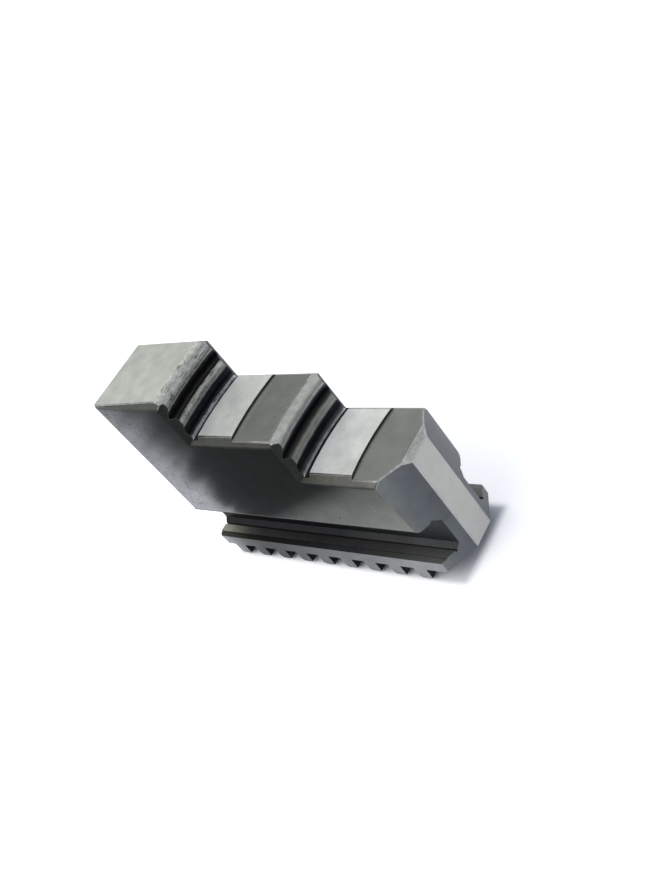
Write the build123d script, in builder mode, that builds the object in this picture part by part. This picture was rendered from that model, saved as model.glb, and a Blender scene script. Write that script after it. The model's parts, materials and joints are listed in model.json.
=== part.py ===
from build123d import *
from math import floor, radians, sqrt, tan
import os

# A reverse jaw for a three-jaw scroll chuck: one solid piece of hardened steel.
# X runs along the jaw, from the plain outer end (-X) to the pointed nose (+X), which
# faces the centre of the chuck. Y runs across it. The two sides are alike, but for two places
# that were ground by hand on the -Y side: the first land's chamfer and the top of the flank.
# Z is up, from the tips of the scroll teeth, on which the jaw stands.
# The origin is under the middle of its length and width. Sizes are in millimetres.

# Overall size
length = 94.5
width = 26.0
height = 70.0

# The three lands step down from the outer end to the nose. Each step is a gripping wall.
first_drop = 14.2
second_drop = 13.8
first_wall = 31.0  # outer end to the crest of the first wall
second_wall = 63.5  # outer end to the crest of the second wall
wall_radius = 70.0  # the walls are hollow arcs about upright axes on the nose side
edge_chamfer = 2.0  # along the sides of the lands and down the corners of the walls
narrow_chamfer = 0.5  # outer end of the first land's chamfer on the -Y side

# The second and third lands have a ground band by the wall, then a lower matt stretch
second_band = 15.8  # crest of the first wall to the end of the band
third_band = 16.6  # crest of the second wall to the end of the band
band_height = 0.7

# First gripping wall, from the top down: a bevel, two ribs and the notches under them
first_bevel_run = 3.2
first_bevel_drop = 1.0
first_upper_rib = 1.9
first_upper_notch = 3.9
first_lower_rib = 2.7

# Second gripping wall
second_bevel_run = 2.4
second_bevel_drop = 1.1
second_upper_rib = 1.7
second_upper_notch = 4.1
second_lower_rib = 2.1

# Both walls
notch_shoulder = 1.1  # depth of the upper notch half way down
notch_depth = 1.5
notch_return = 1.0  # height of the sloped face under the deepest line of the upper notch
lower_notch_depth = 0.8
lower_notch_drop = 2.3
foot_depth = 0.4
relief_depth = 0.8  # the groove at the foot of a wall, below its land
relief_end = 1.5  # crest to the start of the land

# Nose and outer end
nose_angle = 120.0
nose_flat = 7.8
nose_top_run = 1.5
nose_top_drop = 1.2
nose_foot_chamfer = 0.4
flank_relief = 1.7  # how far the top of the flank on the -Y side is ground back, at that side
flank_relief_drop = 19.0  # from the top of the flank to the end of that facet
outer_corner = 1.1

# Guide grooves, one along each side. The rail below them carries the teeth.
neck_width = 13.6
guide_top = 21.4
guide_lip_radius = 1.5
guide_corner = 1.4  # slanted corners along the neck
upper_slot_width = 1.1
upper_slot_depth = 0.4
lower_slot_width = 0.5
lower_slot_depth = 0.5
rail_top = 9.1
rail_band_width = 1.7  # the lower outer edge band on top of the rail
rail_band_depth = 0.3

# Scroll teeth, counted back from the nose
tooth_depth = 5.0
tooth_pitch = 9.12
tooth_width = 4.43  # at the sides of the rail
tooth_setback = 12.7  # front of the nose to the first tooth
tooth_outer_radius = 88.0  # the walls that face the outer end are full
tooth_inner_radius = 280.0  # the walls that face the nose are slightly hollow
tip_outer_chamfer = 1.5
tip_inner_chamfer = 1.1
tip_end_run = 2.2
tip_end_rise = 0.7

# Places worked out from the sizes
stock = 1.0  # on the lands and walls of the blank, taken off by the finishing cuts
clear = 5.0  # how far a cutter starts outside the steel
half_width = width / 2
flat_half = half_width - edge_chamfer
neck_half = neck_width / 2
nose_half = nose_flat / 2
outer_x = -length / 2
nose_x = length / 2
nose_run = (half_width - nose_half) / tan(radians(nose_angle / 2))
second_land = height - first_drop
third_land = second_land - second_drop
nose_top = third_land - band_height
first_crest = outer_x + first_wall
second_crest = outer_x + second_wall
first_tooth = nose_x - tooth_setback
tooth_count = floor((first_tooth - tooth_width - outer_x) / tooth_pitch) + 1


def sagitta(radius, half_chord):
    """How far the middle of an arc stands off its chord."""
    return radius - sqrt(radius**2 - half_chord**2)


def wall_outline(crest, top, land, bevel_run, bevel_drop, upper_rib, upper_notch, lower_rib):
    """Points down a gripping wall, in the middle of the jaw, from its bevel to its land."""
    middle = crest - sagitta(wall_radius, flat_half)
    upper_foot = top - bevel_drop - upper_rib
    lower_head = upper_foot - upper_notch
    lower_foot = lower_head - lower_rib
    return [
        (middle - 2 * bevel_run, top + bevel_drop),
        (middle, top - bevel_drop),
        (middle, upper_foot),
        (middle - notch_shoulder, upper_foot - upper_notch / 2),
        (middle - notch_depth, lower_head + notch_return),
        (middle, lower_head),
        (middle, lower_foot),
        (middle - lower_notch_depth, lower_foot - lower_notch_drop),
        (middle - foot_depth, land - relief_depth),
        (middle + relief_end, land - relief_depth),
        (middle + relief_end, land),
    ]


def step_outline(band_end, land):
    """Points down the low step at the end of a ground band."""
    middle = band_end - sagitta(wall_radius, flat_half)
    return [
        (middle, land + clear),
        (middle, land - band_height),
    ]


finishing_cuts = [
    (
        first_crest,
        wall_outline(
            first_crest,
            height,
            second_land,
            first_bevel_run,
            first_bevel_drop,
            first_upper_rib,
            first_upper_notch,
            first_lower_rib,
        ),
    ),
    (
        first_crest + second_band,
        step_outline(first_crest + second_band, second_land),
    ),
    (
        second_crest,
        wall_outline(
            second_crest,
            second_land - band_height,
            third_land,
            second_bevel_run,
            second_bevel_drop,
            second_upper_rib,
            second_upper_notch,
            second_lower_rib,
        ),
    ),
    (
        second_crest + third_band,
        step_outline(second_crest + third_band, third_land),
    ),
]

# One scroll tooth, with its wall that faces the nose at x = 0 on the sides of the rail
with BuildPart() as tooth:
    with BuildSketch(Plane.XY.offset(tooth_depth)) as tooth_plan:
        with BuildLine():
            inner_wall = ThreePointArc(
                (0, -half_width),
                (-sagitta(tooth_inner_radius, half_width), 0),
                (0, half_width),
            )
            outer_wall = ThreePointArc(
                (-tooth_width, -half_width),
                (-tooth_width - sagitta(tooth_outer_radius, half_width), 0),
                (-tooth_width, half_width),
            )
            Line(inner_wall @ 0, outer_wall @ 0)
            Line(inner_wall @ 1, outer_wall @ 1)
        make_face()
    extrude(amount=-tooth_depth)

    # The tip is bevelled along both walls, more on the side of the outer end
    tip_edges = tooth.faces().sort_by(Axis.Z)[0].edges().filter_by(GeomType.CIRCLE)
    chamfer(tip_edges.sort_by(Axis.X)[0], length=tip_outer_chamfer)
    tip_edges = tooth.faces().sort_by(Axis.Z)[0].edges().filter_by(GeomType.CIRCLE)
    chamfer(tip_edges.sort_by(Axis.X)[-1], length=tip_inner_chamfer)

    # and slopes up at both ends
    with BuildSketch(Plane.YZ) as tip_ends:
        with BuildLine():
            Polyline(
                (half_width - 2 * tip_end_run, -tip_end_rise),
                (half_width + tip_end_run, 2 * tip_end_rise),
                (half_width + tip_end_run, -tip_end_rise),
                close=True,
            )
        make_face()
        mirror(about=Plane.YZ)
    extrude(amount=2 * tooth_pitch, both=True, mode=Mode.SUBTRACT)

with BuildPart() as jaw:
    # Blank: the stepped side view, with stock, crossed with the plan of nose and end
    with BuildSketch(Plane.XZ) as side_view:
        with BuildLine():
            Polyline(
                (outer_x, tooth_depth),
                (nose_x, tooth_depth),
                (nose_x, third_land + stock),
                (second_crest + stock, third_land + stock),
                (second_crest + stock, second_land + stock),
                (first_crest + stock, second_land + stock),
                (first_crest + stock, height + stock),
                (outer_x, height + stock),
                close=True,
            )
        make_face()
    extrude(amount=half_width, both=True)

    with BuildSketch(Plane.XY) as plan:
        with BuildLine():
            Polyline(
                (outer_x, half_width - outer_corner),
                (outer_x + outer_corner, half_width),
                (nose_x - nose_run, half_width),
                (nose_x, nose_half),
                (nose_x, -nose_half),
                (nose_x - nose_run, -half_width),
                (outer_x + outer_corner, -half_width),
                (outer_x, outer_corner - half_width),
                close=True,
            )
        make_face()
    extrude(amount=height + clear, mode=Mode.INTERSECT)

    # One chamfer follows the steps down each side, over the lands and the wall corners
    step_edges = jaw.edges().filter_by(
        lambda edge: abs(abs(edge.center().Y) - half_width) < 0.01
        and abs(edge.center().X) < length / 2 - outer_corner
        and edge.center().Z > third_land
    )
    narrowing_edge = step_edges.sort_by(lambda edge: edge.center().Z - edge.center().Y)[-1]
    chamfer(
        step_edges.filter_by(lambda edge: edge != narrowing_edge),
        length=edge_chamfer + stock,
    )

    # The top is faced off, and the narrowing chamfer is ground with a tilted plane
    split(bisect_by=Plane.XY.offset(height), keep=Keep.BOTTOM)
    narrow_end = Vector(outer_x, narrow_chamfer - half_width, height)
    narrow_foot = Vector(outer_x, -half_width, height - narrow_chamfer)
    wide_end = Vector(first_crest, -flat_half, height)
    chamfer_slope = (narrow_foot - narrow_end).cross(wide_end - narrow_end)
    split(bisect_by=Plane(origin=narrow_end, z_dir=chamfer_slope), keep=Keep.BOTTOM)

    # The walls and low steps are turned about their axes
    for crest, outline in finishing_cuts:
        axis_x = crest - sagitta(wall_radius, flat_half) + wall_radius
        with BuildSketch(Plane.XZ) as cut_section:
            with BuildLine():
                Polyline(
                    (axis_x, outline[-1][1]),
                    (axis_x, outline[0][1]),
                    *outline,
                    close=True,
                )
            make_face()
        revolve(axis=Axis((axis_x, 0, 0), (0, 0, 1)), mode=Mode.SUBTRACT)

    # The top of the flank on the -Y side is ground back a little, most at the side
    flank_front = Vector(nose_x, -nose_half, nose_top)
    flank_back = Vector(nose_x - nose_run - flank_relief, -half_width, nose_top)
    facet_foot = Vector(nose_x - nose_run, -half_width, nose_top - flank_relief_drop)
    facet_slope = (flank_back - flank_front).cross(facet_foot - flank_front)
    split(bisect_by=Plane(origin=flank_front, z_dir=facet_slope), keep=Keep.BOTTOM)

    # Nose: a bevel over the top of the front face, and a small one round the foot
    front_face = jaw.faces().sort_by(Axis.X)[-1]
    chamfer(
        front_face.edges().sort_by(Axis.Z)[-1],
        length=nose_top_drop,
        length2=nose_top_run,
        reference=front_face,
    )
    foot_edges = jaw.faces().sort_by(Axis.Z)[0].edges().filter_by(
        lambda edge: edge.center().X > nose_x - nose_run
    )
    chamfer(foot_edges, length=nose_foot_chamfer)

    # Guide grooves: the rail's top, the slanted and relieved corners, and the rounded lip
    with BuildSketch(Plane.YZ.offset(outer_x - clear)) as groove_section:
        with BuildLine():
            corner_y = neck_half + guide_corner
            band_y = half_width - rail_band_width
            lip_y = half_width - guide_lip_radius
            groove_wall = Polyline(
                (half_width + clear, guide_top + guide_lip_radius),
                (half_width + clear, rail_top - rail_band_depth),
                (band_y, rail_top - rail_band_depth),
                (band_y, rail_top),
                (corner_y + lower_slot_width, rail_top),
                (corner_y + lower_slot_width, rail_top - lower_slot_depth),
                (corner_y, rail_top - lower_slot_depth),
                (corner_y, rail_top),
                (neck_half, rail_top + guide_corner),
                (neck_half, guide_top - guide_corner),
                (corner_y, guide_top),
                (corner_y, guide_top + upper_slot_depth),
                (corner_y + upper_slot_width, guide_top + upper_slot_depth),
                (corner_y + upper_slot_width, guide_top),
                (lip_y, guide_top),
            )
            lip = TangentArc(
                (lip_y, guide_top),
                (half_width, guide_top + guide_lip_radius),
                tangent=(1, 0),
            )
            Line(lip @ 1, groove_wall @ 0)
        make_face()
        mirror(about=Plane.YZ)
    extrude(amount=length + 2 * clear, mode=Mode.SUBTRACT)

    # Scroll teeth under the rail
    with Locations([(first_tooth - number * tooth_pitch, 0, 0) for number in range(tooth_count)]):
        add(tooth.part)

jaw.part.label = "jaw"
os.makedirs("parts", exist_ok=True)
export_step(jaw.part, "parts/jaw.step")
print("teeth", tooth_count, "volume", round(jaw.part.volume), "valid", jaw.part.is_valid)
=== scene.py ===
# %% [markdown]
# # A reverse jaw for a scroll chuck
# The real object is one block of hardened steel, milled and ground to shape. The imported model
# already has its exact form, so this lesson is about its finish: which faces were ground bright,
# which were left matt, where the steel is black from hardening, and how its edges have worn.
# Everything is in metres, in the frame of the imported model: X runs to the nose, Z is up from the
# tips of the teeth.

import json
import math

import bmesh
import bpy
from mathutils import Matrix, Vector

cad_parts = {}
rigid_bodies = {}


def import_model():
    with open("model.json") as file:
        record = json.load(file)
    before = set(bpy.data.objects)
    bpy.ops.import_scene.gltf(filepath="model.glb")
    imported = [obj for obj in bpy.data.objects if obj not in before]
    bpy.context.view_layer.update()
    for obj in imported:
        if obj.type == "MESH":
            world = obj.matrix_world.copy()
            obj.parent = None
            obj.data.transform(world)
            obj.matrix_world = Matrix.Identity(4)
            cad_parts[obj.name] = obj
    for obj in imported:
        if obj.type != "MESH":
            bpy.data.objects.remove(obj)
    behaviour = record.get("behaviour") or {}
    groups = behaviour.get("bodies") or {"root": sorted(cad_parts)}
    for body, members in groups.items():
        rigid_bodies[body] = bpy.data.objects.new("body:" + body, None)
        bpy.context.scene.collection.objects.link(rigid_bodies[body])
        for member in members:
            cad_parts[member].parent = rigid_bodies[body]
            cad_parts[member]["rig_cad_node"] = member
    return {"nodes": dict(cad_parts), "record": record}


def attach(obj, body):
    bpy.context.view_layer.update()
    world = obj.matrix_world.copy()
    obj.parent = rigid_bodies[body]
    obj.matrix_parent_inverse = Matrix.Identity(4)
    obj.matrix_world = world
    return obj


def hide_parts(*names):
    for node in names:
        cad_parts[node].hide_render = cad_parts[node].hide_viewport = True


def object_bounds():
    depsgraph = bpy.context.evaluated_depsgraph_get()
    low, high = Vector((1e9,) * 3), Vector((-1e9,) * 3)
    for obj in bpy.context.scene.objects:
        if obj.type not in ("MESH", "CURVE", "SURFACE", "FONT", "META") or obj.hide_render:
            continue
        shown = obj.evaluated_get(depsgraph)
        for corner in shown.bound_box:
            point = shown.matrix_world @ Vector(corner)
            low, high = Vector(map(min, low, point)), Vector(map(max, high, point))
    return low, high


MM = 0.001
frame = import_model()
cad_low, cad_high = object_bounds()
print("packed model, in mm:", [round(side / MM, 2) for side in cad_high - cad_low])

# %% [markdown]
# ## Where the lands, walls and grooves are
# The mounts in the record sit on the three ground lands, so their heights are read from it. The
# other places are counted from the ends and the lands, as on a drawing of the jaw, because the
# finishes change at them. The gripping walls are arcs, hollow towards the nose, and each has an
# upright axis that its grinding marks run around.

# %% Places on the jaw
mounts = {mount["name"]: Vector(mount["pos_m"]) for mount in frame["record"]["mounts"]}
first_land = mounts["first_land"].z
second_land = mounts["second_land"].z
third_land = mounts["third_land"].z
outer_x = cad_low.x
nose_x = cad_high.x
half_width = cad_high.y
band_height = 0.7 * MM
first_crest = outer_x + 31.0 * MM
second_crest = outer_x + 63.5 * MM
crest_to_axis = 69.13 * MM
first_axis = first_crest + crest_to_axis
second_axis = second_crest + crest_to_axis
guide_top = 21.4 * MM
rail_top = 9.1 * MM
tooth_depth = 5.0 * MM
print("lands, in mm:", [round(z / MM, 2) for z in (first_land, second_land, third_land)])

# %% [markdown]
# ## The camera
# It stands where the photographer did: in front of the nose, to the near side, looking down, with
# the camera turned on its side by 40 degrees. The place and the lens were worked out from the
# corners of the jaw.

# %% Place the camera
camera_place = Vector((218.15, -125.07, 199.04)) * MM
camera_aim = Vector((0.41, 11.06, 25.37)) * MM
camera_roll = math.radians(-39.76)
camera_data = bpy.data.cameras.new("camera")
camera_data.sensor_width = 36
camera_data.lens = 44
camera_data.clip_start = 0.01
camera = bpy.data.objects.new("camera", camera_data)
bpy.context.scene.collection.objects.link(camera)
camera.location = camera_place
camera.rotation_euler = (camera_aim - camera_place).to_track_quat("-Z", "Y").to_euler()
camera.rotation_euler.rotate_axis("Z", camera_roll)
bpy.context.scene.camera = camera
print("camera looks along", [round(v, 3) for v in (camera_aim - camera_place).normalized()])

# %% [markdown]
# ## Colours and nodes
# Colours are written as they look on a screen, in hex, and one function turns them to the linear
# values that a shader needs. One small function adds a node, sets it, and gives its inputs values
# or links. The Mix node holds a set of sockets for every kind of value, so those for colours are
# picked by their numbers.

# %% Colour and node helpers
MIX_FACTOR, MIX_UNDER, MIX_OVER, MIX_RESULT = 0, 6, 7, 2


def linear(hex_colour):
    """The linear colour of an sRGB hex value."""
    channels = [int(hex_colour[start:start + 2], 16) / 255 for start in (1, 3, 5)]
    values = [c / 12.92 if c <= 0.04045 else ((c + 0.055) / 1.055) ** 2.4 for c in channels]
    return (*values, 1.0)


def add_node(tree, kind, settings=None, inputs=None):
    """Add a shader node, set its properties, and give its inputs values or links."""
    node = tree.nodes.new("ShaderNode" + kind)
    for name, value in (settings or {}).items():
        setattr(node, name, value)
    for name, value in (inputs or {}).items():
        if isinstance(value, bpy.types.NodeSocket):
            tree.links.new(value, node.inputs[name])
        else:
            node.inputs[name].default_value = value
    return node


print("mid grey is", [round(v, 3) for v in linear("#808080")])

# %% [markdown]
# ## Spots and runs
# Most faces need the same few patterns, sized in millimetres. Spots are a noise that only shows
# above a level: pits, scale and rub marks. A run is a soft change from one place to another along
# an axis. Both give a factor from 0 to 1, which can then be used on any colour.

# %% Spots and runs


def spots(tree, place, size, level, soft):
    """A factor that is 1 in scattered spots of a size, and 0 between them."""
    noise = add_node(tree, "TexNoise", {}, {"Vector": place, "Scale": 1 / size, "Detail": 2.0})
    return add_node(
        tree,
        "MapRange",
        {"interpolation_type": "SMOOTHSTEP"},
        {"Value": noise.outputs["Fac"], "From Min": level, "From Max": level + soft},
    ).outputs["Result"]


def run(tree, place, axis, start, end):
    """A factor that goes smoothly from 0 at the start to 1 at the end, along X, Y or Z."""
    parts = add_node(tree, "SeparateXYZ", {}, {"Vector": place})
    return add_node(
        tree,
        "MapRange",
        {"interpolation_type": "SMOOTHSTEP"},
        {"Value": parts.outputs[axis], "From Min": start, "From Max": end},
    ).outputs["Result"]


print("spots 1 mm wide need a noise scale of", round(1 / MM))

# %% [markdown]
# ## Shades and spotted colours
# A shade makes a colour darker or lighter by a factor, and keeps its hue. A noise mostly stays
# between 0.3 and 0.7, so a shade uses that part of its factor. A spotted colour lays spots of
# another colour over the first, as pits and stains do.

# %% Shades and spotted colours
NOISE_LOW, NOISE_HIGH = 0.3, 0.7


def shade(tree, colour, factor, at_low, at_high):
    """A colour times one gain where the factor is low, and another where it is high."""
    gain = add_node(
        tree,
        "MapRange",
        {},
        {
            "Value": factor,
            "From Min": NOISE_LOW,
            "From Max": NOISE_HIGH,
            "To Min": at_low,
            "To Max": at_high,
        },
    ).outputs["Result"]
    return add_node(
        tree,
        "Mix",
        {"data_type": "RGBA", "blend_type": "MULTIPLY"},
        {MIX_FACTOR: 1.0, MIX_UNDER: colour, MIX_OVER: gain},
    ).outputs[MIX_RESULT]


def spotted(tree, place, under, over, size, level, soft, where=None):
    """One colour with spots of another, everywhere or only where a factor is high."""
    share = spots(tree, place, size, level, soft)
    if where is not None:
        share = add_node(
            tree, "Math", {"operation": "MULTIPLY"}, {0: where, 1: share}
        ).outputs["Value"]
    return add_node(
        tree,
        "Mix",
        {"data_type": "RGBA"},
        {MIX_FACTOR: share, MIX_UNDER: under, MIX_OVER: over},
    ).outputs[MIX_RESULT]


print("a shade uses a factor from", NOISE_LOW, "to", NOISE_HIGH)

# %% [markdown]
# ## Rows of colours
# The wear on a face goes from one tone to the next, so its colour is a row of tones, each at a
# distance in millimetres. A little wander keeps the borders between them from being ruled lines.

# %% Rows of colours
WANDER_SIZE = 3 * MM


def colours_along(tree, place, axis, origin, stops, wander=0.0):
    """A row of colours along an axis. A stop is a distance from the origin in mm, and a colour."""
    distance = add_node(tree, "SeparateXYZ", {}, {"Vector": place}).outputs[axis]
    if wander:
        noise = add_node(
            tree, "TexNoise", {}, {"Vector": place, "Scale": 1 / WANDER_SIZE, "Detail": 3.0}
        ).outputs["Fac"]
        shift = add_node(
            tree, "MapRange", {}, {"Value": noise, "To Min": -wander, "To Max": wander}
        ).outputs["Result"]
        distance = add_node(
            tree, "Math", {"operation": "ADD"}, {0: distance, 1: shift}
        ).outputs["Value"]
    first, last = stops[0][0], stops[-1][0]
    share = add_node(
        tree,
        "MapRange",
        {},
        {"Value": distance, "From Min": origin + first * MM, "From Max": origin + last * MM},
    ).outputs["Result"]
    row = add_node(tree, "ValToRGB", {}, {"Fac": share})
    for at, colour in stops[1:-1]:
        row.color_ramp.elements.new((at - first) / (last - first)).color = linear(colour)
    row.color_ramp.elements[0].color = linear(stops[0][1])
    row.color_ramp.elements[-1].color = linear(stops[-1][1])
    return row.outputs["Color"]


print("borders wander over", round(WANDER_SIZE / MM), "mm")

# %% [markdown]
# ## Arcs
# The marks that a grinding wheel leaves are fine arcs about the axis of the wall beside them, so
# their noise is stretched around that axis: it reads the distance from the axis, which changes
# quickly, and the place across the jaw, which changes slowly.

# %% Arcs


def from_upright_axis(tree, place, axis_x):
    """The level vector to a point from an upright axis at (axis_x, 0)."""
    offset = add_node(
        tree, "VectorMath", {"operation": "SUBTRACT"}, {0: place, 1: (axis_x, 0.0, 0.0)}
    ).outputs["Vector"]
    return add_node(
        tree, "VectorMath", {"operation": "MULTIPLY"}, {0: offset, 1: (1.0, 1.0, 0.0)}
    ).outputs["Vector"]


def along_arcs(tree, place, axis_x, width, length):
    """A place in which a noise of size 1 becomes thin arcs about an upright axis."""
    level = from_upright_axis(tree, place, axis_x)
    radius = add_node(tree, "VectorMath", {"operation": "LENGTH"}, {0: level}).outputs["Value"]
    parts = add_node(tree, "SeparateXYZ", {}, {"Vector": place}).outputs
    scaled = [
        add_node(tree, "Math", {"operation": "DIVIDE"}, {0: value, 1: size}).outputs["Value"]
        for value, size in ((radius, width), (parts["Y"], length), (parts["Z"], width))
    ]
    return add_node(
        tree, "CombineXYZ", {}, {"X": scaled[0], "Y": scaled[1], "Z": scaled[2]}
    ).outputs["Vector"]


print("axes of the walls, in mm:", [round(x / MM, 2) for x in (first_axis, second_axis)])

# %% [markdown]
# ## The steel that every finish starts from
# A bare steel is metallic, with its colour in the base and the default IOR. Even a ground face is
# never one grey: it has soft clouds a few millimetres across, from handling and oil, and a grain
# from the grit. The real grit is too fine to show, so the grain is drawn at 0.35 mm. It also lifts
# the surface, so the gloss breaks up a little. A finish differs from the next in its roughness and
# in its recipe: a small function that adds the nodes of its colour to a tree.

# %% A plain steel
GRAIN_SIZE = 0.35 * MM
GRAIN_DEPTH = 0.02 * MM


def even(colour):
    """The recipe for one colour all over."""
    return lambda tree, place: linear(colour)


def toned(axis, origin, stops):
    """The recipe for a row of colours along an axis."""
    return lambda tree, place: colours_along(tree, place, axis, origin, stops)


def steel(name, roughness, recipe, bump=0.12, cloud=0.05, cloud_size=5 * MM, grit=0.06):
    """A steel with the colour of a recipe, under soft clouds and a fine grain."""
    material = bpy.data.materials.new(name)
    material.use_nodes = True
    tree = material.node_tree
    place = add_node(tree, "TexCoord").outputs["Object"]
    grain = add_node(
        tree, "TexNoise", {}, {"Vector": place, "Scale": 1 / GRAIN_SIZE, "Detail": 2.0}
    ).outputs["Fac"]
    clouds = add_node(
        tree, "TexNoise", {}, {"Vector": place, "Scale": 1 / cloud_size, "Detail": 3.0}
    ).outputs["Fac"]
    cloudy = shade(tree, recipe(tree, place), clouds, 1 - 2 * cloud, 1 + 2 * cloud)
    gritty = shade(tree, cloudy, grain, 1 - 2 * grit, 1 + 2 * grit)
    lift = add_node(
        tree, "Bump", {}, {"Strength": bump, "Distance": GRAIN_DEPTH, "Height": grain}
    ).outputs["Normal"]
    shader = tree.nodes["Principled BSDF"]
    shader.inputs["Metallic"].default_value = 1.0
    shader.inputs["Roughness"].default_value = roughness
    tree.links.new(gritty, shader.inputs["Base Color"])
    tree.links.new(lift, shader.inputs["Normal"])
    return material


finishes = {}
print("grain and its depth, in mm:", [round(v / MM, 2) for v in (GRAIN_SIZE, GRAIN_DEPTH)])

# %% [markdown]
# ## Ground lands
# The three lands carry the work, so they are surface ground and stay the brightest faces. The
# grinding marks are arcs, and they stretch the gloss across themselves, which the anisotropic part
# of the shader does. The lower lands are painted lighter, most of all close to the wall behind
# them, to make up for the walls' shade, and the far half of each is painted a little darker to
# make up for its stronger sheen.

# %% Ground land steel


def land_colour(tree, place):
    """Faint arcs; painted lighter on the lower lands near their walls, darker on the far half."""
    # painted light: the lower lands are lighter, most of all near their walls, against the walls'
    # shade
    colour = colours_along(tree, place, "X", outer_x, [
        (0, "#BEC2BD"), (26, "#C2C5BF"), (30, "#C1C4C0"), (32.4, "#D3D7D6"), (36, "#D5D9D7"),
        (40, "#CFD3D0"), (46.8, "#CFD3CE"), (64.9, "#E3E6E6"), (69, "#E7E9E9"), (73, "#E0E2E1"),
        (80.1, "#DBDEDA"),
    ])
    arcs = along_arcs(tree, place, first_axis, width=0.25 * MM, length=9 * MM)
    marks = add_node(
        tree, "TexNoise", {}, {"Vector": arcs, "Scale": 1.0, "Detail": 3.0}
    ).outputs["Fac"]
    colour = shade(tree, colour, marks, at_low=0.96, at_high=1.04)
    # painted shade: the far half is a little darker, against its stronger sheen
    far_half = run(tree, place, "Y", -half_width, half_width)
    return shade(tree, colour, far_half, at_low=1.03, at_high=0.98)


# ground with a wheel: the brightest, and the gloss is drawn out across the marks
finishes["land"] = steel("ground_steel_land", 0.75, land_colour, grit=0.03)
land_tree = finishes["land"].node_tree
land_shader = land_tree.nodes["Principled BSDF"]
land_shader.inputs["Anisotropic"].default_value = 0.9
land_place = add_node(land_tree, "TexCoord").outputs["Object"]
outwards = add_node(
    land_tree,
    "VectorMath",
    {"operation": "NORMALIZE"},
    {0: from_upright_axis(land_tree, land_place, first_axis)},
).outputs["Vector"]
land_tree.links.new(outwards, land_shader.inputs["Tangent"])
print("gloss is stretched by", round(land_shader.inputs["Anisotropic"].default_value, 2))

# %% [markdown]
# ## Matt lands
# Below each ground band a low step leads to the rest of the land, which is left matt from the
# milling and the hardening.

# %% Matt land and step steels

# left from the milling: an even, dull mid grey
finishes["matt"] = steel("matt_steel_land", 0.75, toned("X", outer_x, [
    (46.8, "#868987"), (48.5, "#777A78"), (58, "#757874"), (80, "#848785"), (94, "#7E817F"),
]), cloud=0.04, grit=0.04)

# the low step at the end of a ground band: a dark line
finishes["step"] = steel("dull_steel_step", 0.7, even("#454745"))
print("land steels:", list(finishes))

# %% [markdown]
# ## Gripping walls
# A wall goes from a bright bevel, down two rubbed ribs with a black undercut below each, to a
# bluish foot. The black of the undercuts, the dark inner part of each rib's top and the dark upper
# part of each foot are painted shade, where the ribs overhang. Each tone runs into the next,
# because the ribs are rounded with wear. So a wall has one steel whose colour is a row of tones by
# height. Dashes along its arcs and mottles are the marks of the work it has gripped.

# %% The recipe of a wall
WALL_WANDER = 0.25 * MM


def wall_steel(name, axis_x, land, stops, dash_level, dash_tone, mottle):
    """A gripping wall's steel. The stops are heights in mm above the land at its foot."""

    def wall_colour(tree, place):
        """Tones by height, with dashes along the arcs and with mottles."""
        colour = colours_along(tree, place, "Z", land, stops, WALL_WANDER)
        arcs = along_arcs(tree, place, axis_x, width=0.45 * MM, length=2.6 * MM)
        dashes = spots(tree, arcs, size=1.0, level=dash_level, soft=0.12)
        colour = shade(tree, colour, dashes, at_low=1.04, at_high=dash_tone)
        mottles = spots(tree, place, size=0.9 * MM, level=0.45, soft=0.1)
        return shade(tree, colour, mottles, at_low=1 + mottle, at_high=1 - mottle)

    return steel(name, 0.6, wall_colour, bump=0.4, cloud=0.08, cloud_size=1.8 * MM)


print("borders of the tones wander by", round(WALL_WANDER / MM, 2), "mm")

# %% [markdown]
# ## The tones of the two walls
# They are read upwards: a bluish foot, the lower undercut, the lower rib, the upper undercut, the
# upper rib and the bevel. The first wall has taken most knocks and is streaked along its ribs.
# Before the foot of both is the floor of a shallow groove, painted dark for the shade in it.

# %% Wall steels
# painted shade: the near black tones are the shade in the undercuts, under the ribs and atop the
# feet
first_tones = [
    (-0.9, "#C8CED1"), (-0.5, "#E3ECF4"), (0.0, "#C7CDD5"), (0.4, "#484C4F"), (0.8, "#383B3D"),
    (1.3, "#0A0A0B"), (2.4, "#2B2D33"), (3.4, "#1F2023"), (3.9, "#75777C"), (4.4, "#979997"),
    (4.9, "#7E7E7C"), (5.6, "#B3B5B1"), (6.4, "#A2A4A0"), (6.9, "#1E1E1D"), (7.2, "#0D0E0E"),
    (7.5, "#343434"), (8.0, "#0E0F13"), (9.7, "#292A2D"), (10.2, "#595A5B"), (10.7, "#BDBFBC"),
    (11.1, "#6E6F6D"), (12.0, "#848782"), (12.8, "#A8A9A6"), (13.4, "#8B8E90"),
    (13.7, "#929592"), (14.2, "#ACAEAC"),
]
second_tones = [
    (-0.9, "#CED3D9"), (-0.4, "#E7ECEC"), (0.1, "#73777B"), (0.6, "#505356"), (1.0, "#3A3D40"),
    (1.4, "#1F2025"), (2.4, "#25262D"), (3.2, "#1D1E21"), (3.8, "#828484"), (4.3, "#9A9C99"),
    (4.8, "#828480"), (5.6, "#898A88"), (6.0, "#71736E"), (6.3, "#424441"), (6.8, "#242528"),
    (7.4, "#07070A"), (8.8, "#2A2A32"), (9.6, "#686A6C"), (10.2, "#B4B6B4"), (10.5, "#939492"),
    (11.0, "#7B7B7A"), (11.6, "#979897"), (12.2, "#A2A5A2"), (13.2, "#9A9E9D"),
]

# rubbed by the work it has gripped: streaked, with black undercuts of painted shade
finishes["first_wall"] = wall_steel(
    "rubbed_steel_first_wall", first_axis, second_land, first_tones,
    dash_level=0.53, dash_tone=0.5, mottle=0.12,
)

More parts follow.
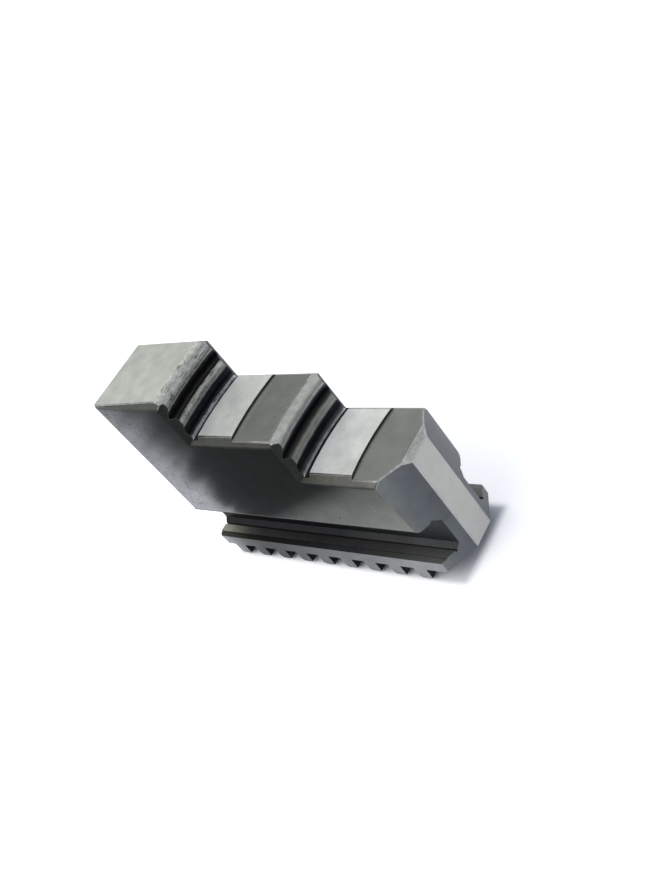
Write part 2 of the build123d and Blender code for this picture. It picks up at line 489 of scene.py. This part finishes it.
# less used: the same bands with softer marks
finishes["second_wall"] = wall_steel(
    "rubbed_steel_second_wall", second_axis, third_land, second_tones,
    dash_level=0.6, dash_tone=0.8, mottle=0.03,
)

# the floor of the relief groove: painted dark for the shade in it, and dull
finishes["relief"] = steel("dark_steel_relief", 0.6, even("#262829"), grit=0.1)
print("tones of the walls:", len(first_tones), "and", len(second_tones))

# %% [markdown]
# ## Chamfers
# The chamfers along the lands and down the corners of the walls were left from the milling, and
# are dull. Those along the lands are painted dark for the dark surroundings they mirror, a little
# lighter towards the nose; those down the corners are darker still.

# %% Chamfer steels

# chamfers along the lands, left from the milling: dull olive grey, painted dark for the dark
# surroundings they mirror
finishes["chamfer"] = steel("dull_steel_chamfer", 0.6, toned("X", outer_x, [
    (0, "#3A3C3A"), (12, "#4C4E4A"), (30, "#4D4F4B"), (34, "#4A4C49"), (50, "#454743"),
    (63, "#464744"), (68, "#50524E"), (80, "#60615E"), (94, "#7A7C78"),
]), grit=0.1)

# chamfered corners of the walls: darker still
finishes["corner"] = steel("dark_steel_wall_corner", 0.5, even("#2C2E2C"), grit=0.1)
print("steels so far:", len(finishes))

# %% [markdown]
# ## Sides
# The sides slide in the chuck body, so they are ground, but not as bright as the lands, and they
# have small pits. The near side is fine enough to mirror what is beside it, and part of that
# reflection is painted into its colour: lighter and bluer at the outer end, darker in the middle
# and lighter low down. The far side and the outer end are duller, with faint brown stains.

# %% Side steels


def near_side_colour(tree, place):
    """Painted reflection: lighter and bluer at the outer end and lighter low; more pits at the end.
    """
    colour = colours_along(tree, place, "X", outer_x, [
        (0, "#93979F"), (8, "#93979F"), (20, "#82858A"), (35, "#747675"), (60, "#737573"),
        (94, "#787A78"),
    ])
    # painted reflection: lighter low down, where the side mirrors the floor close by
    painted_low_reflection = run(tree, place, "Z", third_land - 2 * MM, guide_top + 2 * MM)
    colour = shade(tree, colour, painted_low_reflection, at_low=0.9, at_high=1.05)
    colour = spotted(
        tree, place, colour, linear("#2C2C2E"), size=1.1 * MM, level=0.7, soft=0.03
    )
    outer_end = run(tree, place, "X", outer_x + 26 * MM, outer_x + 8 * MM)
    return spotted(
        tree, place, colour, linear("#3A3B3E"),
        size=0.7 * MM, level=0.64, soft=0.03, where=outer_end,
    )


def far_side_colour(tree, place):
    """Faint brown stains, and pits."""
    colour = spotted(
        tree, place, linear("#8E908B"), linear("#939184"), size=9 * MM, level=0.5, soft=0.2
    )
    return spotted(
        tree, place, colour, linear("#3C3A36"), size=1.1 * MM, level=0.71, soft=0.03
    )


# finely ground: it mirrors softly, with scattered pits, and part of its reflection is painted in
finishes["side"] = steel("ground_steel_side", 0.12, near_side_colour)

# ground and then stored: duller and slightly brown
finishes["far_side"] = steel("ground_steel_far_side", 0.35, far_side_colour, cloud=0.06)
print("steels so far:", len(finishes))

# %% [markdown]
# ## Nose
# The front of the nose is light and even, and painted a little lighter at the bottom, where it
# mirrors shaded floor. The flanks beside it are painted a bluish dark grey for the dark
# surroundings they mirror, and painted lighter on the neck between the guide grooves, where they
# mirror shaded floor. The bevel over the front has dull stains.

# %% Nose steels


def flank_colour(tree, place):
    """Painted reflection: a bluish dark grey, painted lighter down the neck."""
    colour = colours_along(tree, place, "X", nose_x, [
        (-5.2, "#626565"), (-3.6, "#575A5E"), (-2.2, "#54575B"), (-0.4, "#505356"),
    ])
    # painted light: lighter down the neck, where it mirrors shaded floor
    neck = run(tree, place, "Z", 21 * MM, 17 * MM)
    return shade(tree, colour, neck, at_low=1.0, at_high=1.22)


def facet_colour(tree, place):
    """Light steel under dull stains."""
    return spotted(
        tree, place, linear("#A2A4A4"), linear("#8E9092"), size=1.6 * MM, level=0.45, soft=0.3
    )


# only lightly ground: dark with a blue cast, a painted reflection of dark surroundings
finishes["flank"] = steel("dark_steel_flank", 0.45, flank_colour, bump=0.06, grit=0.03)

# ground flat: light and even, painted a little lighter at the bottom, where it mirrors shaded floor
finishes["front"] = steel("ground_steel_front", 0.45, toned("Z", 0.0, [
    (4, "#ABAAA8"), (10, "#A8A7A5"), (16, "#A6A6A2"), (24, "#A5A5A1"), (40, "#A2A29E"),
]), cloud=0.02, grit=0.03)

# ground by hand: light, with stains
finishes["facet"] = steel("ground_steel_facet", 0.5, facet_colour)
print("steels so far:", len(finishes))

# %% [markdown]
# ## Guide grooves and rail
# The grooves are painted black inside for the deep shade in them, a little lighter towards the
# nose. The top of the rail is olive grey at its outer end and dark beyond it, and the sides of the
# rail are bright at both ends.

# %% Groove and rail steels

# near black: painted shade inside the groove, a little lighter towards the nose
finishes["groove"] = steel("shade_black_steel_groove", 0.55, toned("X", outer_x, [
    (0, "#292A2B"), (6, "#212222"), (12, "#232426"), (50, "#28292C"), (60, "#353737"),
    (72, "#3B3C3C"), (84, "#47484B"), (94, "#3F4244"),
]), grit=0.1)

# olive grey at its outer end, dark beyond, lighter at the nose
finishes["rail_top"] = steel("uneven_steel_rail_top", 0.7, toned("X", outer_x, [
    (0, "#919087"), (4, "#82827A"), (9, "#6A6A62"), (14, "#4F504F"), (20, "#48494B"),
    (45, "#414245"), (70, "#56575A"), (88, "#6C6E6E"),
]), grit=0.1)

# the lower band along the rail's edge: darker, lighter towards the nose
finishes["rail_band"] = steel("dark_steel_rail_band", 0.65, toned("X", outer_x, [
    (0, "#3D3D39"), (6, "#2F2F2A"), (14, "#1E1E1D"), (30, "#27282A"), (60, "#444749"),
    (88, "#6F7270"),
]), grit=0.1)

# the side of the rail and the ends of the teeth: light at both ends
finishes["rail_side"] = steel("ground_steel_rail_side", 0.45, toned("X", outer_x, [
    (1, "#A5A7A8"), (7, "#767878"), (12, "#545756"), (18, "#3A3E3E"), (26, "#3B3F3F"),
    (34, "#505555"), (44, "#646868"), (62, "#76797B"), (72, "#838688"), (80, "#888A8B"),
    (92, "#86898B"),
]), cloud=0.06)
print("steels so far:", len(finishes))

# %% [markdown]
# ## Scroll teeth
# The floors of the gaps are painted blue black and the walls of the teeth dark, for the shade in
# the gaps. The walls have rub marks, and the tips are lighter, because the scroll's thread rubs
# there.

# %% Tooth steels


def tooth_wall_colour(tree, place):
    """Dark, painted shade, with rub marks."""
    return spotted(
        tree, place, linear("#2B2D30"), linear("#4A4C4E"), size=1.8 * MM, level=0.52, soft=0.2
    )


# blue black: painted shade in the gaps
finishes["gap"] = steel("shade_black_steel_gap", 0.5, even("#15161A"), grit=0.1)

# rubbed by the thread's sides: dark for painted shade, with lighter marks
finishes["tooth_wall"] = steel("rubbed_steel_tooth_wall", 0.5, tooth_wall_colour, grit=0.1)

# rubbed bare by the bottom of the thread: light and cloudy
finishes["tooth_tip"] = steel("rubbed_steel_tooth_tip", 0.4, even("#8A8C8C"), cloud=0.08)
print("steels so far:", len(finishes))

# %% [markdown]
# ## Edges
# The edges are rounded with wear. Where the crests and the nose stand out they are knocked bright,
# with a painted highlight there too, and along the bands they are only dulled. Between the
# chamfers and the sides they are painted dark for the dark surroundings they mirror, and in the
# grooves painted near black for the shade there. The far edges are about as light as the lands.

# %% Edge steels


def land_edge_colour(tree, place):
    """Brightest at the crests and at the nose, worn and with a painted highlight, with knocks."""
    colour = colours_along(tree, place, "X", outer_x, [
        (0, "#747674"), (26, "#696B69"), (28.5, "#858784"), (31, "#858784"), (32, "#575957"),
        (36, "#686A68"), (48, "#60625F"), (53, "#656764"), (58, "#757774"), (63, "#7B7C7A"),
        (65, "#616361"), (80, "#626462"), (84, "#626361"), (89, "#919391"), (94, "#A2A4A2"),
    ])
    knocks = spots(tree, place, size=1.2 * MM, level=0.5, soft=0.15)
    return shade(tree, colour, knocks, at_low=0.9, at_high=1.1)


# worn round by work and handling: knocked bright in places, with painted highlights at the crests
# and the nose
finishes["land_edge"] = steel(
    "bright_steel_edge", 0.45, land_edge_colour, cloud=0.1, cloud_size=2 * MM
)

# the upright edges of the nose: no brighter than its front
finishes["nose_edge"] = steel("dull_steel_nose_edge", 0.5, even("#9FA1A3"))

# between the chamfers and the sides: painted dark for the dark surroundings they mirror
finishes["side_edge"] = steel("dark_steel_side_edge", 0.5, toned("X", outer_x, [
    (0, "#6C6E6E"), (15, "#4C4E4D"), (30, "#363836"), (62, "#333534"), (72, "#505250"),
    (94, "#6C6E6C"),
]), cloud=0.08)

# in the grooves and on the teeth: nearly black, painted shade
finishes["rail_edge"] = steel("dark_steel_rail_edge", 0.6, even("#222426"), cloud=0.1)

# along the far side of the lands: light
finishes["far_edge"] = steel("ground_steel_far_edge", 0.6, toned("X", outer_x, [
    (0, "#B4B6B2"), (31, "#B4B6B2"), (34, "#C0C2BE"), (46.4, "#C0C2BE"), (47.2, "#A2A4A2"),
    (62, "#A2A4A2"), (65, "#B4B6B4"), (79.6, "#B4B6B4"), (80.4, "#8A8C8A"), (94, "#8A8C8A"),
]))
order = list(finishes)
print("finishes:", order)

# %% [markdown]
# ## A copy of the jaw to finish
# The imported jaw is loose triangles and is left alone. A copy is merged at its shared corners, and
# the triangles of each flat face are joined, so that each face of the jaw is one face again.

# %% Copy and merge the jaw
SAME_CORNER = 0.001 * MM
SAME_PLANE = math.radians(0.3)


def only_select(piece):
    """Select one object and make it the active one."""
    bpy.ops.object.select_all(action="DESELECT")
    piece.select_set(True)
    bpy.context.view_layer.objects.active = piece


only_select(frame["nodes"]["jaw"])
bpy.ops.object.duplicate()
jaw = bpy.context.active_object
jaw.name = "finished_jaw"
del jaw["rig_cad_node"]
bpy.ops.object.mode_set(mode="EDIT")
bpy.ops.mesh.select_all(action="SELECT")
bpy.ops.mesh.remove_doubles(threshold=SAME_CORNER)
bpy.ops.mesh.dissolve_limited(angle_limit=SAME_PLANE)
bpy.ops.object.mode_set(mode="OBJECT")
print("faces of the jaw:", len(jaw.data.polygons))

# %% [markdown]
# ## Where the finishes change
# A face is known by where its middle is and which way it faces, as a finisher would say it: up on
# the first land, down in the second gap. The places that this needs, and three small questions
# about a place, come first.

# %% Places for the rules
CLOSE = 0.05 * MM
UP = 0.99
SQUARE = 0.95
nose_zone = nose_x - 6 * MM
facet_zone = nose_x - 3 * MM
end_zone = outer_x + 2 * MM
lip = 1.6 * MM
past_wall = 10 * MM
below_lands = third_land - 3 * MM
rail_side_y = half_width - 0.3 * MM
land_heights = (first_land, second_land, third_land)
matt_heights = (second_land - band_height, third_land - band_height)


def at_height(z, heights):
    """Whether a height is one of the given ones."""
    return min(abs(z - height) for height in heights) < CLOSE


def wall_at(x):
    """The gripping wall that a place belongs to."""
    return "first_wall" if x < (first_crest + second_crest) / 2 else "second_wall"


def beyond_crest(x):
    """How far a place is towards the nose from the crest of its land's wall."""
    return x - (first_crest if x < second_crest - past_wall else second_crest)


print("the crests belong to", [wall_at(x) for x in (first_crest, second_crest)])

# %% [markdown]
# ## Rules for the rail and the teeth
# The rail is told apart from the rest by its height. Its sides, its top and its band differ in
# which way they face, and a gap differs from a tip in its height.

# %% Rules for the rail


def rail_finish(middle, normal):
    """The finish of a face of the rail or the teeth."""
    if normal.x < -0.5 and middle.z > tooth_depth:
        return "far_side"
    if abs(normal.y) > SQUARE:
        return "rail_side" if abs(middle.y) > rail_side_y else "groove"
    if normal.z > 0.9:
        return "rail_top" if middle.z > rail_top - CLOSE else "rail_band"
    if normal.z < -0.9:
        return "gap" if middle.z > tooth_depth / 2 else "tooth_tip"
    if middle.z < tooth_depth:
        return "tooth_tip" if normal.z < -0.3 else "tooth_wall"
    return "groove"


print("a face down on the floor is", rail_finish(Vector((0, 0, 0)), Vector((0, 0, -1))))

# %% [markdown]
# ## Rules for the rest of the jaw
# The rules are asked in turn, and the first that holds names the finish: the nose, the rail, the
# outer end, the grooves, the sides, the lands, the chamfers and steps, and then the walls.

# %% Rules for the jaw


def finish_of(middle, normal):
    """Name the finish of a face from its middle and its normal."""
    x, y, z = middle
    if x > nose_x - CLOSE:
        return "front"
    if normal.x > 0.7 and abs(normal.y) > 0.4 and x > nose_zone:
        return "flank"
    if normal.x > 0.4 and normal.z > 0.5 and x > facet_zone:
        return "facet"
    if z < rail_top + CLOSE:
        return rail_finish(middle, normal)
    if normal.x < -0.5 and abs(normal.z) < 0.5 and x < end_zone:
        return "far_side"
    if z < guide_top + lip and (abs(y) < half_width - lip or normal.z < -0.1):
        return "groove"
    if abs(normal.y) > SQUARE or z < below_lands:
        return "side" if y < 0 else "far_side"
    if normal.z > UP and at_height(z, land_heights):
        return "land"
    if normal.z > UP and at_height(z, matt_heights):
        return "matt"
    if abs(normal.y) > 0.5:
        return "chamfer" if normal.z > 0.3 else "corner"
    if normal.x < -0.5:
        return "far_side" if x < end_zone else "step"
    if normal.x > 0.9 and beyond_crest(x) > past_wall:
        return "step"
    return "relief" if normal.z > UP else wall_at(x)


print("a face that looks up at the top is", finish_of((0, 0, first_land), Vector((0, 0, 1))))

# %% [markdown]
# ## Which face has which finish
# Every finish becomes a material slot of the jaw, and each face is given the slot that its rule
# names.

# %% Sort the faces
jaw.data.materials.clear()
for name in order:
    jaw.data.materials.append(finishes[name])
counts = {name: 0 for name in order}
for polygon in jaw.data.polygons:
    name = finish_of(polygon.center, polygon.normal)
    polygon.material_index = order.index(name)
    counts[name] += 1
print("faces of each finish:", counts)

# %% [markdown]
# ## How far the edges are worn
# Each finish has the rounding that its edges have worn to, in millimetres, and an edge takes the
# smaller of its two faces'. Hollow corners and nearly flat ones stay sharp. A Bevel modifier
# rounds an edge by its weight, a share of the widest rounding.

# %% Weigh the edges
WIDEST = 0.6 * MM
NEARLY_FLAT = math.radians(20)
rounding = {
    "land": 0.3, "matt": 0.35, "step": 0.1, "first_wall": 0.25, "second_wall": 0.25,
    "relief": 0.0, "chamfer": 0.5, "corner": 0.25, "side": 0.6, "far_side": 0.6, "flank": 0.6,
    "front": 0.3, "facet": 0.5, "groove": 0.0, "rail_top": 0.0, "rail_band": 0.0,
    "rail_side": 0.2, "gap": 0.0, "tooth_wall": 0.15, "tooth_tip": 0.15,
}


def edge_rounding(edge):
    """The width of an edge's rounding, in metres, or 0 if it stays sharp."""
    if len(edge.link_faces) != 2 or not edge.is_convex:
        return 0.0
    if edge.calc_face_angle() < NEARLY_FLAT:
        return 0.0
    names = {order[face.material_index] for face in edge.link_faces}
    if "flank" in names and names & {"side", "far_side"}:
        return 0.0
    return min(rounding[name] for name in names) * MM


form = bmesh.new()
form.from_mesh(jaw.data)
weights = form.edges.layers.float.new("bevel_weight_edge")
for edge in form.edges:
    edge[weights] = edge_rounding(edge) / WIDEST
print("edges to round:", sum(1 for edge in form.edges if edge[weights] > 0))
form.to_mesh(jaw.data)
form.free()

# %% [markdown]
# ## Rounding the edges
# The rounding is real, so it also shows in the mesh. Where three roundings meet, the modifier can
# leave corners on top of each other and faces without area, and these are merged away, as they
# would spoil the shading.

# %% Round the edges
BEVEL_SEGMENTS = 3
MERGE = 0.03 * MM
only_select(jaw)
bevel = jaw.modifiers.new("worn edges", "BEVEL")
bevel.limit_method = "WEIGHT"
bevel.width = WIDEST
bevel.segments = BEVEL_SEGMENTS
bevel.use_clamp_overlap = False
bevel.material = order.index("land_edge")
bpy.ops.object.modifier_apply(modifier=bevel.name)
bpy.ops.object.mode_set(mode="EDIT")
bpy.ops.mesh.select_all(action="SELECT")
bpy.ops.mesh.remove_doubles(threshold=MERGE)
bpy.ops.mesh.dissolve_degenerate(threshold=MERGE)
bpy.ops.object.mode_set(mode="OBJECT")
print("faces after rounding:", len(jaw.data.polygons))

# %% [markdown]
# ## Finishes of the rounded edges
# The new faces all have the land's edge steel, and are sorted by place again: dark along the
# sides, dull at the nose, light along the far edges, and on a wall the wall's own steel. The rail
# and the grooves are told first.

# %% Rules for the rounded edges of the rail
worn = 0.7 * MM
groove_end = nose_x - 5 * MM
edge_nose_zone = nose_x - 8 * MM


def low_edge_finish(middle, normal):
    """The finish of a rounded edge of the rail or in a guide groove, or None above them."""
    x, y, z = middle
    if z < rail_top + 0.5 * MM:
        return "rail_side" if abs(normal.y) > 0.9 or x > edge_nose_zone else "rail_edge"
    if z < guide_top + 0.5 * MM and abs(y) < half_width - worn and x < groove_end:
        return "rail_edge"
    return None


print("rounded edges reach in by", round(worn / MM, 2), "mm at most")

# %% [markdown]
# ## Rules for the other rounded edges
# The edges of the steps and of the outer end are told by the way they face, those of the nose and
# the sides by their place, and those of a wall by how far they are behind and below its crest.

# %% Sort the rounded edges
chamfer_y = half_width - 2.2 * MM
far_edge_y = half_width - 3 * MM
wall_reach = (-6 * MM, 0.4 * MM)
crest_tops = (
    (first_crest, first_land - 0.3 * MM),
    (second_crest, second_land - band_height - 0.3 * MM),
)


def edge_finish(middle, normal):
    """Name the finish of a rounded edge from its middle and its normal."""
    x, y, z = middle
    low_finish = low_edge_finish(middle, normal)
    if low_finish:
        return low_finish
    if normal.x < -0.2 and x > end_zone:
        return "step"
    if normal.x < -0.3:
        return "land" if normal.z > 0.5 else "far_side"
    if x > nose_x - worn:
        return "front" if normal.z > 0.2 else "nose_edge"
    if x > nose_zone and abs(normal.z) < 0.3:
        return "nose_edge"
    if abs(y) > half_width - worn:
        return "side_edge"
    if x < edge_nose_zone and normal.x > 0.5 and beyond_crest(x) > past_wall:
        return "step"
    turned = min(abs(normal.x), abs(normal.y)) > 0.3
    if x < edge_nose_zone and turned and abs(y) > chamfer_y:
        return "side_edge"
    for crest, top in crest_tops:
        if wall_reach[0] < x - crest < wall_reach[1] and z < top:
            return wall_at(x)
    return "far_edge" if y > far_edge_y else "land_edge"


edge_index = order.index("land_edge")
for polygon in jaw.data.polygons:
    if polygon.material_index == edge_index:
        polygon.material_index = order.index(edge_finish(polygon.center, polygon.normal))
print("bright faces:", sum(1 for face in jaw.data.polygons if face.material_index == edge_index))

# %% [markdown]
# ## Shading
# Smooth shading runs over the rounded edges and the hollow walls, and stops at every edge that
# turns by more than a rounding's own steps. A Weighted Normal modifier lets the large flat faces
# keep their own normals, so that they still look flat.

# %% Smooth the edges
SMOOTH_ANGLE = math.radians(31)
only_select(jaw)
bpy.ops.object.shade_smooth()
form = bmesh.new()
form.from_mesh(jaw.data)
for edge in form.edges:
    edge.smooth = len(edge.link_faces) == 2 and edge.calc_face_angle() < SMOOTH_ANGLE
print("sharp edges:", sum(1 for edge in form.edges if not edge.smooth))
form.to_mesh(jaw.data)
form.free()
flatten = jaw.modifiers.new("flat faces", "WEIGHTED_NORMAL")
flatten.keep_sharp = True
flatten.weight = 100
bpy.ops.object.modifier_apply(modifier=flatten.name)

# %% [markdown]
# ## The finished jaw takes its place
# The real jaw is one rigid piece, so the copy rides on the root body and stands in for the packed
# one.

# %% Hand over the jaw
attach(jaw, "root")
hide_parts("jaw")
print("corners of the finished jaw:", len(jaw.data.vertices))

# %% [markdown]
# ## The sky of the studio
# A studio for small metal parts is a white tent. The camera and the mirror-like steel see a plain
# white, and the soft light that falls on the jaw is a little blue, as daylight through paper is.

# %% World
world = bpy.data.worlds.new("studio")
bpy.context.scene.world = world
world.use_nodes = True
sky = world.node_tree
rays = add_node(sky, "LightPath")
sees_white = rays.outputs["Is Camera Ray"]
for kind in ("Is Glossy Ray", "Is Transmission Ray"):
    sees_white = add_node(
        sky, "Math", {"operation": "MAXIMUM"}, {0: sees_white, 1: rays.outputs[kind]}
    ).outputs["Value"]
sky_colour = add_node(
    sky,
    "Mix",
    {"data_type": "RGBA"},
    {MIX_FACTOR: sees_white, MIX_UNDER: linear("#AEB6C6"), MIX_OVER: linear("#FFFFFF")},
).outputs[MIX_RESULT]
sky.links.new(sky_colour, sky.nodes["Background"].inputs["Color"])
sky.nodes["Background"].inputs["Strength"].default_value = 1.0
bpy.context.scene.view_settings.view_transform = "Standard"
print("sky light:", [round(v, 2) for v in linear("#AEB6C6")])

# %% [markdown]
# ## The windows
# Two very wide suns stand for windows. The one behind the outer end gives the soft shadow beyond
# the nose, and the other lights the near side. Only the first is mirrored.

# %% Suns
WINDOW_ENERGY = 1.2
WINDOW_ANGLE = math.radians(60)
for name, direction, mirrored in (
    ("window", (0.75, 0.1, -0.65), True),
    ("side_window", (0.2, 0.7, -0.65), False),
):
    lamp_data = bpy.data.lights.new(name, "SUN")
    lamp_data.energy = WINDOW_ENERGY
    lamp_data.angle = WINDOW_ANGLE
    lamp_data.color = linear("#FFFCF6")[:3]
    lamp = bpy.data.objects.new(name, lamp_data)
    lamp.rotation_euler = Vector(direction).to_track_quat("-Z", "Y").to_euler()
    lamp.visible_glossy = mirrored
    bpy.context.scene.collection.objects.link(lamp)
    print(name, "shines along", direction)

# %% [markdown]
# ## The floor
# It is a sheet of white paper, so wide that its edge is out of sight.

# %% Floor
FLOOR_SIDE = 4.0
bpy.ops.object.select_all(action="DESELECT")
bpy.ops.mesh.primitive_plane_add(size=FLOOR_SIDE, location=(0, 0, 0))
floor = bpy.context.active_object
floor.name = "paper_floor"
print("floor is at z =", floor.location.z)

# %% [markdown]
# ## White paper
# The paper is diffuse, so it keeps the shadow. Some white of its own is given to the camera and to
# reflections, so that it reaches the white of the background. Under the jaw that white fades out,
# painting in shade, as the real paper lies in the jaw's shade there.

# %% Paper
PAPER_LIFT = 0.47

# white paper: an even, matt white
paper = bpy.data.materials.new("white_paper")
paper.use_nodes = True
sheet = paper.node_tree
sheet.nodes.remove(sheet.nodes["Principled BSDF"])
matt_white = add_node(sheet, "BsdfDiffuse", {}, {"Color": linear("#F4F4F4")}).outputs["BSDF"]
paper_rays = add_node(sheet, "LightPath").outputs
paper_seen = add_node(
    sheet,
    "Math",
    {"operation": "MAXIMUM"},
    {0: paper_rays["Is Camera Ray"], 1: paper_rays["Is Glossy Ray"]},
).outputs["Value"]
paper_place = add_node(sheet, "TexCoord").outputs["Object"]
from_middle = add_node(
    sheet, "VectorMath", {"operation": "ABSOLUTE"}, {0: paper_place}
).outputs["Vector"]
# painted shade: the paper's own white fades out under the jaw
under_jaw = add_node(
    sheet,
    "Math",
    {"operation": "MULTIPLY"},
    {
        0: run(sheet, from_middle, "X", nose_x, nose_x - 4 * MM),
        1: run(sheet, from_middle, "Y", half_width + 1.5 * MM, half_width - 1.5 * MM),
    },
).outputs["Value"]
lift = add_node(
    sheet, "MapRange", {}, {"Value": under_jaw, "To Min": PAPER_LIFT, "To Max": 0.0}
).outputs["Result"]
lift_strength = add_node(
    sheet, "Math", {"operation": "MULTIPLY"}, {0: paper_seen, 1: lift}
).outputs["Value"]
glow = add_node(
    sheet, "Emission", {}, {"Color": linear("#FFFFFF"), "Strength": lift_strength}
).outputs["Emission"]
white = add_node(sheet, "AddShader", {}, {0: matt_white, 1: glow}).outputs["Shader"]
sheet.links.new(white, sheet.nodes["Material Output"].inputs["Surface"])
floor.data.materials.append(paper)
print("paper white:", [round(v, 2) for v in linear("#F4F4F4")])

# %% [markdown]
# ## A card beside the jaw
# The near side is ground well enough to mirror its surroundings: dark in the middle, white beyond
# the outer end and grey before the nose. A studio does this with a printed card on the floor,
# where the near side mirrors it to the camera. Only reflections see it.

# %% Lay the card
CARD_SIDE = 0.3
card_centre = Vector((-130.0, -174.0, 0.3)) * MM
bpy.ops.object.select_all(action="DESELECT")
bpy.ops.mesh.primitive_plane_add(size=CARD_SIDE, location=card_centre)
card = bpy.context.active_object
card.name = "side_card"
bpy.ops.object.transform_apply(location=True, rotation=True, scale=True)
card.visible_camera = False
card.visible_diffuse = False
card.visible_shadow = False
card.visible_transmission = False
card.visible_volume_scatter = False
print("card corners, in mm:", [[round(c / MM) for c in v.co] for v in card.data.vertices])

# %% [markdown]
# ## The print on the card
# Its borders are two straight lines, given by two points each. The outer one ripples a little, and
# it is softer the further it is from the jaw, as in a real reflection, because the roughness of
# the steel blurs what is far more than what is near.

# %% Measure from the borders
outer_border = (Vector((-66.0, -30.0, 0)) * MM, Vector((-171.0, -69.8, 0)) * MM)
nose_border = (Vector((-34.2, -28.4, 0)) * MM, Vector((-21.6, -37.7, 0)) * MM)
dark_middle = Vector((-100.0, -60.0, 0)) * MM
RIPPLE_SIZE = 14 * MM
RIPPLE_HEIGHT = 3 * MM

# ink on card that shines by itself: its tones are mirrored as they are printed
print_ink = bpy.data.materials.new("printed_card")
print_ink.use_nodes = True
card_tree = print_ink.node_tree
card_tree.nodes.remove(card_tree.nodes["Principled BSDF"])
card_place = add_node(card_tree, "TexCoord").outputs["Object"]


def beyond(border):
    """How far a place on the card is beyond a border, seen from the card's dark middle."""
    start, end = border
    along = (end - start).normalized()
    across = Vector((along.y, -along.x, 0))
    if (dark_middle - start).dot(across) > 0:
        across = -across
    offset = add_node(
        card_tree, "VectorMath", {"operation": "SUBTRACT"}, {0: card_place, 1: tuple(start)}
    ).outputs["Vector"]
    return add_node(
        card_tree, "VectorMath", {"operation": "DOT_PRODUCT"}, {0: offset, 1: tuple(across)}
    ).outputs["Value"]


ripple = add_node(
    card_tree, "TexNoise", {}, {"Vector": card_place, "Scale": 1 / RIPPLE_SIZE, "Detail": 1.0}
).outputs["Fac"]
ripple_shift = add_node(
    card_tree,
    "MapRange",
    {},
    {
        "Value": ripple,
        "From Min": NOISE_LOW,
        "From Max": NOISE_HIGH,
        "To Min": -RIPPLE_HEIGHT,
        "To Max": RIPPLE_HEIGHT,
    },
).outputs["Result"]
outer_distance = add_node(
    card_tree, "Math", {"operation": "ADD"}, {0: beyond(outer_border), 1: ripple_shift}
).outputs["Value"]
print("outer border runs", [round(v / MM) for v in outer_border[1] - outer_border[0]], "mm")

# %% [markdown]
# ## Its tones
# Beyond the outer border the card is white. Towards the nose its dark grey turns light in steps.
# It shines by itself, so the tones are those that the side mirrors.

# %% Print the card
softness = add_node(
    card_tree,
    "MapRange",
    {},
    {
        "Value": add_node(card_tree, "SeparateXYZ", {}, {"Vector": card_place}).outputs["Y"],
        "From Min": -70 * MM,
        "From Max": -30 * MM,
        "To Min": 12 * MM,
        "To Max": 1 * MM,
    },
).outputs["Result"]
outer_share = add_node(
    card_tree, "Math", {"operation": "DIVIDE"}, {0: outer_distance, 1: softness}
).outputs["Value"]
outer_white = add_node(
    card_tree,
    "MapRange",
    {"interpolation_type": "SMOOTHSTEP"},
    {"Value": outer_share, "From Min": -1, "From Max": 1},
).outputs["Result"]
nose_share = add_node(
    card_tree,
    "MapRange",
    {},
    {"Value": beyond(nose_border), "From Min": -4 * MM, "From Max": 30 * MM},
).outputs["Result"]
nose_grey = add_node(card_tree, "ValToRGB", {}, {"Fac": nose_share})
for share, grey in ((0.12, "#8A8C8E"), (0.3, "#BEC0C0"), (0.5, "#CED0CF")):
    nose_grey.color_ramp.elements.new(share).color = linear(grey)
nose_grey.color_ramp.elements[0].color = linear("#525355")
nose_grey.color_ramp.elements[-1].color = linear("#F0F2F0")
printed = add_node(
    card_tree,
    "Mix",
    {"data_type": "RGBA"},
    {
        MIX_FACTOR: outer_white,
        MIX_UNDER: nose_grey.outputs["Color"],
        MIX_OVER: linear("#FFFFFF"),
    },
).outputs[MIX_RESULT]
card_glow = add_node(card_tree, "Emission", {}, {"Color": printed, "Strength": 1.0})
card_output = card_tree.nodes["Material Output"]
card_tree.links.new(card_glow.outputs["Emission"], card_output.inputs["Surface"])
card.data.materials.append(print_ink)
print("tones towards the nose:", len(nose_grey.color_ramp.elements))
